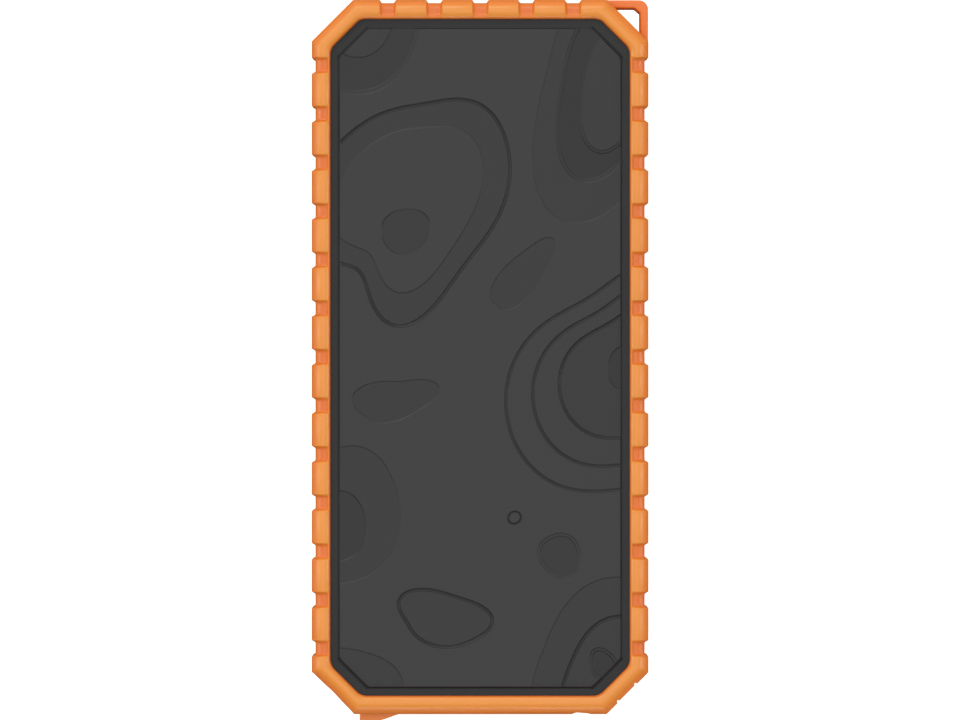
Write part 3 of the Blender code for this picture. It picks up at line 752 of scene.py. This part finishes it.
def relief_panel(name, hx, hy, c, cy, lines, mat, under=False, top=26.7, side=26.12, foot=25.3, inset=0.45):
    """A panel with a contour relief pressed into its face, mirrored in height for the underside."""
    border = loop_of(hx, hy, c, cy, inset)
    nb = len(border)

    def outside(q):
        for i in range(nb):
            a, b = border[i], border[(i + 1) % nb]
            if (b.x - a.x) * (q.y - a.y) - (b.y - a.y) * (q.x - a.x) < -1e-7:
                return True
        return False

    verts, edges = [], []

    def add_line(pts, closed):
        base = len(verts)
        verts.extend([Vector((p.x, p.y)) for p in pts])
        for i in range(len(pts) - 1):
            edges.append((base + i, base + i + 1))
        if closed:
            edges.append((base + len(pts) - 1, base))

    dense = []
    for i in range(nb):
        a, b = border[i], border[(i + 1) % nb]
        m = max(1, int((b - a).length / 1.5))
        for k in range(m):
            dense.append(a.lerp(b, k / m))
    add_line(dense, True)
    for ln in lines:
        for off in ln.offsets():
            pts = ln.offset_line(off)
            if len(pts) > 3:
                add_line(pts, ln.closed)
    # a loose lattice of extra points keeps the flat parts from being long slivers
    rnd = random.Random(7)
    gx, gy = int(hx / 2.2), int(hy / 2.2)
    for i in range(-gx, gx + 1):
        for j in range(-gy, gy + 1):
            q = Vector((i * 2.2 + rnd.uniform(-0.4, 0.4), cy + j * 2.2 + rnd.uniform(-0.4, 0.4)))
            if outside(q) or min(abs(ln.signed(q)) for ln in lines) < 1.6:
                continue
            verts.append(q)
    vo, _, fo, _, _, _ = delaunay_2d_cdt(verts, edges, [], 0, 1e-5, False)
    vo = [Vector((v[0], v[1])) for v in vo]
    bm = bmesh.new()
    made = {}

    def vert(i):
        if i not in made:
            q = vo[i]
            made[i] = bm.verts.new((q.x, q.y, top - sum(ln.drop(q) for ln in lines)))
        return made[i]

    for f in fo:
        cen = sum((vo[i] for i in f), Vector((0.0, 0.0))) / len(f)
        if outside(cen):
            continue
        area = 0.0
        for k in range(len(f)):
            p, q = vo[f[k - 1]], vo[f[k]]
            area += p.x * q.y - q.x * p.y
        if abs(area) < 1e-9:
            continue
        ids = list(f) if area > 0 else list(reversed(f))
        bm.faces.new([vert(i) for i in ids])
    # walk the rim
    nxt = {}
    for e in bm.edges:
        if len(e.link_faces) == 1:
            lp_ = e.link_loops[0]
            nxt[lp_.vert] = lp_.link_loop_next.vert
    start = next(iter(nxt))
    ring, v = [start], nxt[start]
    while v is not start:
        ring.append(v)
        v = nxt[v]
    nor = []
    for v in ring:
        q = Vector((v.co.x, v.co.y))
        best, n = 1e9, None
        for i in range(nb):
            a, b = border[i], border[(i + 1) % nb]
            e = b - a
            f = max(0.0, min(1.0, (q - a).dot(e) / e.length_squared))
            d = (q - (a + e * f)).length
            if d < best - 1e-6:
                best, n = d, Vector((e.y, -e.x)).normalized()
                if f in (0.0, 1.0):
                    j = i - 1 if f == 0.0 else (i + 1) % nb
                    e2 = border[(j + 1) % nb] - border[j]
                    n = (n + Vector((e2.y, -e2.x)).normalized()).normalized()
        nor.append(n)
    last = ring
    for deg in (24, 47, 69, 90):
        a = math.radians(deg)
        new = []
        for v, v0, n in zip(last, ring, nor):
            out = inset * math.sin(a)
            z = v0.co.z - (v0.co.z - side) * (1.0 - math.cos(a))
            new.append(bm.verts.new((v0.co.x + n.x * out, v0.co.y + n.y * out, z)))
        for i in range(len(ring)):
            j = (i + 1) % len(ring)
            bm.faces.new((last[j], last[i], new[i], new[j]))
        last = new
    # a thin soft edge fills the gap to the shell, then the side runs down to the foot
    for out, z in ((inset + 0.02, side - 0.10), (inset + 0.14, side - 0.16), (inset + 0.28, side - 0.17),
                   (inset + 0.28, side - 0.45), (inset, side - 0.50), (inset, foot)):
        new = [bm.verts.new((v0.co.x + n.x * out, v0.co.y + n.y * out, z)) for v0, n in zip(ring, nor)]
        for i in range(len(ring)):
            j = (i + 1) % len(ring)
            bm.faces.new((last[j], last[i], new[i], new[j]))
        last = new
    bm.faces.new(list(reversed(last)))
    for v in bm.verts:
        if under:
            v.co.z = THICK - v.co.z
        v.co = v.co * MM
    if under:
        bmesh.ops.reverse_faces(bm, faces=bm.faces)
    return link(name, bm, mat, 13.0, recalc=False)


def blob(cx, cy, r, stretch=1.0, turn=0.0, waves=(), n=48):
    """A smooth closed contour: a circle stretched along one direction, with a few slow waves on its radius."""
    out = []
    ct, st = math.cos(math.radians(turn)), math.sin(math.radians(turn))
    for i in range(n):
        a = 2.0 * math.pi * i / n
        k = r * (1.0 + sum(w * math.cos(m * a + math.radians(p)) for m, w, p in waves))
        u, v = k * stretch * math.cos(a), k * math.sin(a)
        out.append((cx + u * ct - v * st, cy + u * st + v * ct))
    return out


# A generic contour-map relief: hills and hollows made of simple loops, some running off the edge.
G = (0.95, 0.27)
T = (0.90, 0.25)
MASSIF = [(2, 0.10, 165.0), (3, 0.11, 70.0), (4, 0.06, 250.0), (5, 0.03, 60.0)]
SHOULDER = [(2, 0.10, 170.0), (3, 0.11, 70.0), (4, 0.05, 240.0), (5, 0.02, 80.0)]
RIDGE = [(2, 0.10, 30.0), (3, 0.07, 210.0)]
HEAD = [(2, 0.09, 120.0), (3, 0.09, 20.0), (4, 0.04, 80.0)]
BAY = [(2, 0.08, 80.0), (3, 0.08, 300.0)]
LINES = [
    # upper left: a channel round a hill, a shoulder inside it, a round pit on the shoulder
    Line(blob(-17.0, 40.0, 20.6, 1.46, 64.0, MASSIF, 72), 0, G, [(0.0, 0.13)]),
    Line(blob(-17.4, 40.0, 15.4, 1.46, 64.0, SHOULDER, 72), 0, None, [(0.0, -0.13)]),
    Line(blob(-18.6, 32.5, 5.6, 1.12, 30.0, [(3, 0.04, 0.0)]), 0, None, [(0.0, 0.20)]),
    # top left corner: a step and a hollow
    Line(blob(-34.0, 86.5, 17.0, 1.20, 150.0, [(2, 0.07, 60.0), (3, 0.08, 10.0)]), 0, None, [(0.0, 0.13), (1.0, 0.12)]),
    Line(blob(-32.5, 87.5, 10.0, 1.20, 150.0, [(2, 0.07, 60.0), (3, 0.08, 10.0)]), 0, None, [(0.0, -0.12)]),
    # upper right: a slope that comes in from the corner, with a ringed hollow
    Line(blob(35.0, 70.0, 21.0, 1.55, 72.0, RIDGE), 0, None, [(0.0, 0.12)]),
    Line(blob(33.0, 69.0, 14.6, 1.50, 76.0, RIDGE), 0, None, [(0.0, 0.14), (0.8, 0.12)]),
    Line(blob(33.5, 67.5, 9.6, 1.45, 80.0, RIDGE), 0, None, [(0.0, -0.13), (0.7, -0.12)]),
    Line(blob(10.5, 21.5, 4.4, 2.5, 50.0, [(3, 0.10, 0.0)]), 0, None, [(0.0, 0.12)]),
    # right: nested channels that run off the edge
    Line(blob(37.5, -6.0, 27.5, 1.10, 80.0, HEAD), 0, T, [(0.0, 0.03)]),
    Line(blob(38.0, -5.0, 22.0, 1.10, 80.0, HEAD), 0, T, [(0.0, 0.03)]),
    Line(blob(38.5, -3.5, 16.6, 1.08, 80.0, HEAD), 0, T, [(0.0, 0.10)]),
    Line(blob(36.0, -1.5, 4.6, 1.1, 80.0, [(2, 0.1, 0.0)]), 0, None, [(0.0, 0.16)]),
    # middle left: a small basin; lower left: a bay with a pit in it
    Line(blob(-21.5, -9.5, 5.4, 1.85, 14.0, [(2, 0.10, 40.0), (3, 0.12, 330.0)]), 0, None, [(0.0, 0.14)]),
    Line(blob(-36.5, -40.0, 15.5, 1.22, 62.0, BAY), 0, None, [(0.0, 0.12)]),
    Line(blob(-37.0, -42.0, 8.2, 1.18, 62.0, BAY), 0, None, [(0.0, 0.15)]),
    # lower edge: a closed channel, a small ring, a round hollow, a hill in the corner
    Line(blob(-9.0, -64.0, 6.6, 1.75, 172.0, [(2, 0.06, 90.0), (3, 0.10, 120.0)]), 0, G, [(0.0, 0.12)]),
    Line(blob(8.6, -39.0, 1.5, 1.1, 40.0), 0, (0.55, 0.26), []),
    Line(blob(20.0, -48.5, 5.2, 1.15, 120.0, [(3, 0.06, 200.0)]), 0, None, [(0.0, 0.12), (0.75, 0.11)]),
    Line(blob(35.0, -82.0, 23.0, 1.08, 118.0, [(2, 0.08, 40.0), (3, 0.08, 100.0)]), 0, None, [(0.0, 0.12)]),
    Line(blob(35.5, -82.5, 15.8, 1.05, 118.0, [(2, 0.08, 40.0), (3, 0.08, 100.0)]), 0, G, [(0.0, 0.02)]),
    Line(blob(30.6, -75.4, 3.4, 1.2, 118.0, [(3, 0.06, 0.0)]), 0, None, [(0.0, 0.13), (0.75, 0.13)]),
    Line(blob(-33.0, -84.0, 12.5, 1.15, 30.0, [(2, 0.08, 160.0), (3, 0.07, 20.0)]), 0, None, [(0.0, 0.13)]),
]

face = relief_panel("face_panel", 35.25, 82.25, 7.3, CY - 0.25, LINES, FIELD)
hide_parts("upper_panel")
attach(face, "housing")

# the panel underneath: the same language, fewer lines
BACK = [
    Line(blob(-10.0, 50.0, 18.0, 1.46, 64.0, MASSIF, 72), 0, G, [(0.0, 0.10)]),
    Line(blob(-12.0, 46.0, 6.4, 1.20, 30.0, BAY), 0, None, [(0.0, 0.14)]),
    Line(blob(35.0, -4.0, 20.5, 1.10, 80.0, HEAD), 0, T, [(0.0, 0.03)]),
    Line(blob(36.0, -3.0, 14.6, 1.10, 80.0, HEAD), 0, T, [(0.0, 0.10)]),
    Line(blob(-33.5, -22.0, 13.5, 1.20, 62.0, BAY), 0, None, [(0.0, 0.12)]),
    Line(blob(2.0, -42.0, 6.4, 1.50, 172.0, [(2, 0.06, 90.0), (3, 0.10, 120.0)]), 0, G, [(0.0, 0.10)]),
]
back = relief_panel("back_panel", 31.5, 66.0, 7.0, CY + 8.0, BACK, FIELD, under=True)
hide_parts("lower_panel")
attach(back, "housing")


# ------------------------------------------------------------------ port cover: flap, hinge web, anchor in one moulding
X0, X1 = -30.45, 27.45


def ease(x, a, b):
    f = max(0.0, min(1.0, (x - a) / (b - a)))
    return f * f * (3 - 2 * f)


def cover_out(x):
    """Outer face, measured in from the frame's end face."""
    return 0.05 + 0.45 * ease(x, 22.25, 23.0) - 0.25 * ease(x, 24.1, 27.0)


def cover_in(x):
    """Inner face: thinned at the living hinge."""
    return 1.70 - 0.68 * ease(x, 22.2, 22.6) + 0.68 * ease(x, 23.25, 23.65)


def build_cover():
    xs = []
    for k in range(6):
        a = math.radians(90.0 * k / 5)
        xs.append((X0 + 1.0 * (1 - math.cos(a)), 6.7 + 1.0 * math.sin(a)))
    xs += [(x, 7.7) for x in (-28.0, -24.0, -19.0, -12.0, -4.0, 4.0, 12.0, 18.0, 21.0, 22.0)]
    xs += [(22.15 + 0.075 * k, 7.7) for k in range(24)]
    xs += [(x, 7.7) for x in (24.1, 24.5, 25.1, 25.8, 26.2)]
    for k in range(6):
        a = math.radians(90.0 * k / 5)
        xs.append((X1 - 1.0 + 1.0 * math.sin(a), 6.7 + 1.0 * math.cos(a)))
    rows = []
    for x, hz in xs:
        end = min(x - X0, X1 - x)
        pull = 0.40 * max(0.0, 1.0 - end / 0.4) ** 2
        yo = BOT + cover_out(x) + pull
        yi = BOT + cover_in(x)
        ro = min(0.45, (yi - yo) * 0.45)
        sec = [(yo, MID - hz * 0.33), (yo, MID - hz * 0.66)]
        for k in range(6):
            a = math.radians(90.0 * k / 5)
            sec.append((yo + ro * (1 - math.cos(a)), MID - hz + ro * (1 - math.sin(a))))
        sec += [(yi - 0.15, MID - hz), (yi, MID - hz + 0.15), (yi, MID), (yi, MID + hz - 0.15), (yi - 0.15, MID + hz)]
        for k in range(6):
            a = math.radians(90.0 * k / 5)
            sec.append((yo + ro * (1 - math.sin(a)), MID + hz - ro * (1 - math.cos(a))))
        sec += [(yo, MID + hz * 0.66), (yo, MID + hz * 0.33)]
        rows.append([(x, y, z) for y, z in sec])
    bm = bmesh.new()
    rows_to(bm, rows)
    ob = link("cover_skin", bm, None, None)
    # pull tab
    tab = [(-30.1, BOT + 1.3), (-30.1, BOT - 1.95), (-25.6, BOT - 1.95), (-23.75, BOT - 1.38), (-20.7, BOT - 0.30),
           (-19.3, BOT + 0.10), (-19.3, BOT + 1.3)]
    tab = round_poly(tab, [0.0, 0.5, 0.8, 0.6, 0.8, 0.0, 0.0], 5)
    tools = [prism_obj("t", tab, edge_levels(MID - 5.0, MID + 5.0, 0.42), None, None)]
    for x in (-28.9, -27.7, -26.5):
        rib = [(x - 0.32, BOT - 1.7), (x - 0.22, BOT - 2.14), (x + 0.22, BOT - 2.14), (x + 0.32, BOT - 1.7)]
        rib = round_poly(rib, [0.0, 0.14, 0.14, 0.0], 4)
        tools.append(prism_obj("t", rib, edge_levels(MID - 4.1, MID + 4.1, 0.12), None, None))
    # pads that plug the sockets
    for cx, hw, hh, r in ((-17.5, 5.4, 1.9, 0.5), (-0.5, 5.4, 1.9, 0.5), (14.5, 3.4, 0.75, 0.74)):
        lp_ = [(s, rrect(hw - g, hh - g, max(0.1, r - g), -cx, 0.2)) for s, g in
               ((1.3, 0.0), (2.75, 0.0), (2.93, 0.05), (3.07, 0.15), (3.15, 0.3))]
        tools.append(cutter_loft((0.0, BOT), (0.0, 1.0), lp_))
    boolean(ob, tools, "UNION")
    # shallow field in the outer face
    lps = [(s, rrect(17.8 + g, 4.7 + g, 2.0 + g, 2.4, 0.0)) for s, g in
           ((-0.42, -0.42), (-0.37, -0.28), (-0.28, -0.16), (-0.12, -0.03), (0.0, 0.06), (0.4, 0.4))]
    boolean(ob, [cutter_loft((0.0, BOT), (0.0, -1.0), lps)])
    one_material(ob, COVER, 36.0)
    ob.name = "cover_skin"
    return ob


cover = build_cover()
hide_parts("port_cover", "cover_anchor")
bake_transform(cover)


# ------------------------------------------------------------------ power button
def build_button():
    cap = [(-7.40, 1.05, 1.05, 1.04), (-7.25, 1.20, 1.20, 1.19), (-1.90, 1.20, 1.20, 1.19),
           (-1.90, 4.15, 6.45, 1.45), (-1.82, 4.30, 6.60, 1.60), (-1.48, 4.30, 6.60, 1.60),
           (-1.40, 4.15, 6.45, 1.45), (-1.40, 2.90, 5.15, 1.05), (-1.28, 2.76, 5.01, 0.92),
           (-0.62, 2.75, 5.00, 0.90)]
    for k in range(7):
        a = math.radians(90.0 * k / 6)
        g = 0.42 * (1 - math.cos(a))
        cap.append((-0.47 + 0.42 * math.sin(a), 2.75 - g, 5.0 - g, 0.9 - g * 0.6))
    # a shallow thumb hollow in the face
    for k in range(1, 7):
        f = 1.0 - k / 7.5
        cap.append((-0.05 - 0.30 * (1 - f) * (1 - f) - 0.05 * (1 - f), 2.33 * f, 4.58 * f, 0.6 * f))
    loops = [(n, rrect(hw, hh, r)) for n, hw, hh, r in cap]
    nvec = Vector((BUTTON_N[0], BUTTON_N[1], 0.0))
    tvec = Vector((-BUTTON_N[1], BUTTON_N[0], 0.0))
    c = Vector((BUTTON_C[0], BUTTON_C[1], MID))
    rows = [[tuple(c + nvec * s + tvec * a + Vector((0, 0, z))) for a, z in lp_] for s, lp_ in loops]
    bm = bmesh.new()
    rows_to(bm, rows)
    return link("button_pad", bm, BUTTON, 38.0)


button = build_button()
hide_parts("power_button")
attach(button, "button")


def build_surround():
    """Thin rubber skirt in the bottom of the groove round the button."""
    prof = [(-1.22, 3.86, 6.11), (-1.22, 2.98, 5.23), (-1.16, 2.93, 5.18), (-1.08, 2.95, 5.20), (-1.02, 3.05, 5.30),
            (-1.00, 3.30, 5.55), (-0.96, 3.55, 5.80), (-0.86, 3.72, 5.97), (-0.78, 3.86, 6.11)]
    nvec = Vector((BUTTON_N[0], BUTTON_N[1], 0.0))
    tvec = Vector((-BUTTON_N[1], BUTTON_N[0], 0.0))
    c = Vector((BUTTON_C[0], BUTTON_C[1], MID))
    rows = [[tuple(c + nvec * s + tvec * a + Vector((0, 0, z))) for a, z in rrect(hw, hh, 1.2 + (hw - 3.2) * 0.6)]
            for s, hw, hh in prof]
    bm = bmesh.new()
    rows_to(bm, rows, closed=True)
    return link("button_surround", bm, BUTTON, 38.0)


surround = build_surround()
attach(surround, "housing")


# ------------------------------------------------------------------ socket contacts
def block(bm, lo, hi, g):
    """Small block with all its edges broken by g, in mm."""
    x0, y0, z0 = lo
    x1, y1, z1 = hi
    r = min(g, (x1 - x0) * 0.3, (y1 - y0) * 0.3, (z1 - z0) * 0.3)
    cx, cy, hw, hd = (x0 + x1) / 2, (y0 + y1) / 2, (x1 - x0) / 2, (y1 - y0) / 2
    rows = []
    for z, s in ((z0, r), (z0 + r, 0.0), (z1 - r, 0.0), (z1, r)):
        rows.append([(cx + a, cy + b, z) for a, b in rrect(hw - s, hd - s, r, 0.0, 0.0, 2)])
    rows_to(bm, rows)


bm = bmesh.new()
for cx in (-17.5, -0.5):
    lo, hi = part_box("usb_a_tongue_1" if cx < -10 else "usb_a_tongue_2")
    z_face = hi[2] / MM if abs(hi[2] / MM - 14.2) < abs(lo[2] / MM - 14.2) else lo[2] / MM
    up = -1 if z_face == lo[2] / MM else 1
    for k in (-3.5, -1.0, 1.0, 3.5):
        za, zb = sorted((z_face - 0.05 * up, z_face + 0.09 * up))
        block(bm, (cx + k - 0.5, lo[1] / MM + 0.35, za), (cx + k + 0.5, lo[1] / MM + 6.8, zb), 0.04)
lo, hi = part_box("usb_c_tongue")
for side, zf in ((-1, lo[2] / MM), (1, hi[2] / MM)):
    for k in range(12):
        x = 14.5 + (k - 5.5) * 0.5
        za, zb = sorted((zf - 0.03 * side, zf + 0.03 * side))
        block(bm, (x - 0.14, lo[1] / MM + 0.3, za), (x + 0.14, lo[1] / MM + 3.6, zb), 0.01)
contacts = link("socket_contacts", bm, GOLD, 30.0)
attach(contacts, "housing")


# ------------------------------------------------------------------ materials on the CAD's own pieces
BY_NAME = {"upper_shell": SHELL, "lower_shell": SHELL, "upper_panel": FIELD, "lower_panel": FIELD,
           "shell_seal": SEAL, "port_plate": SHELL, "usb_c_shell": SOCKET, "usb_c_tongue": TONGUE,
           "bumper_frame": ORANGE, "lanyard_loop": LOOP, "port_cover": COVER, "cover_anchor": COVER,
           "power_button": BUTTON, "protection_board": PCB, "main_board": PCB, "temp_sensor": BEAD,
           "lead_red": RED, "lead_black": DARK, "controller_chip": CHIP, "light_guide": CLEAR,
           "switch_body": CHIP, "switch_plunger": CREAM}
BY_STEM = {"housing_screw": SCREW, "board_screw": SCREW, "usb_a_shell": SOCKET, "usb_a_tongue": TONGUE,
           "cell": FOIL, "foam": FOAM, "tab": NICKEL, "inductor": FERRITE, "capacitor": CAN,
           "transistor": CHIP, "led": WHITE}
for name, ob in NODES.items():
    mat = BY_NAME.get(name)
    if mat is None:
        for stem, m in BY_STEM.items():
            if name.startswith(stem + "_"):
                mat = m
    if mat is None:
        raise RuntimeError("no material for " + name)
    if not ob.material_slots:
        raise RuntimeError(name + " has no material slot")
    for s in ob.material_slots:
        s.material = mat


# ------------------------------------------------------------------ floor, light, view
def floor_mat():
    m, nt, b = new_mat("m_floor")
    v = coords(nt)
    n1 = noise(nt, v, 3.0, 2.0)
    nt.links.new(ramp(nt, n1, [(0.3, (0.55, 0.55, 0.55)), (0.7, (0.57, 0.57, 0.57))]), b.inputs["Base Color"])
    b.inputs["Roughness"].default_value = 0.9
    b.inputs["Specular IOR Level"].default_value = 0.1
    b.inputs["Emission Color"].default_value = (1.0, 1.0, 1.0, 1.0)
    b.inputs["Emission Strength"].default_value = 0.72
    return m


bm = bmesh.new()
fv = [bm.verts.new((x, y, -0.00002)) for x, y in ((-15.0, -15.0), (15.0, -15.0), (15.0, 15.0), (-15.0, 15.0))]
bm.faces.new(fv)
floor = link("floor", bm, floor_mat(), None, recalc=False)
floor.visible_glossy = False


def area(name, loc, target, size, power, colour=(1.0, 1.0, 1.0)):
    d = bpy.data.lights.new(name, "AREA")
    d.shape = "RECTANGLE"
    d.size, d.size_y = size
    d.energy = power
    d.color = colour
    ob = bpy.data.objects.new(name, d)
    bpy.context.scene.collection.objects.link(ob)
    ob.location = loc
    ob.rotation_euler = (Vector(target) - Vector(loc)).to_track_quat("-Z", "Y").to_euler()
    return ob


area("top", (0.0, 0.10, 3.30), (0.0, 0.0, 0.0), (3.4, 3.4), 50.0)
area("strip", (-0.7, 2.0, 1.75), (0.0, 0.0, 0.0), (2.2, 0.45), 24.0)
area("fill_left", (-2.4, 0.05, 1.30), (0.0, 0.0, 0.0), (0.5, 1.8), 18.0)
area("fill_right", (2.4, 0.05, 1.30), (0.0, 0.0, 0.0), (0.5, 1.8), 17.0)
area("front", (0.0, -2.3, 0.85), (0.0, 0.0, 0.0), (1.8, 0.5), 15.0)

# an even pale surround, dimmer low on the -Y side and below the horizon
world = bpy.data.worlds.new("studio")
bpy.context.scene.world = world
world.use_nodes = True
wt = world.node_tree
bg = wt.nodes["Background"]
wc = wt.nodes.new("ShaderNodeTexCoord")
sep = wt.nodes.new("ShaderNodeSeparateXYZ")
wt.links.new(wc.outputs["Generated"], sep.inputs["Vector"])
side = map_range(wt, sep.outputs["Y"], -1.0, 1.0, 0.18, 0.95)
high = map_range(wt, sep.outputs["Z"], -0.28, -0.03, 0.08, 1.0)
mul = wt.nodes.new("ShaderNodeMath")
mul.operation = "MULTIPLY"
wt.links.new(side, mul.inputs[0])
wt.links.new(high, mul.inputs[1])
wt.links.new(ramp(wt, mul.outputs["Value"], [(0.0, (0.0, 0.0, 0.0)), (1.0, (1.0, 1.0, 1.0))]), bg.inputs["Color"])
bg.inputs["Strength"].default_value = 1.0
bpy.context.scene.view_settings.view_transform = "Standard"
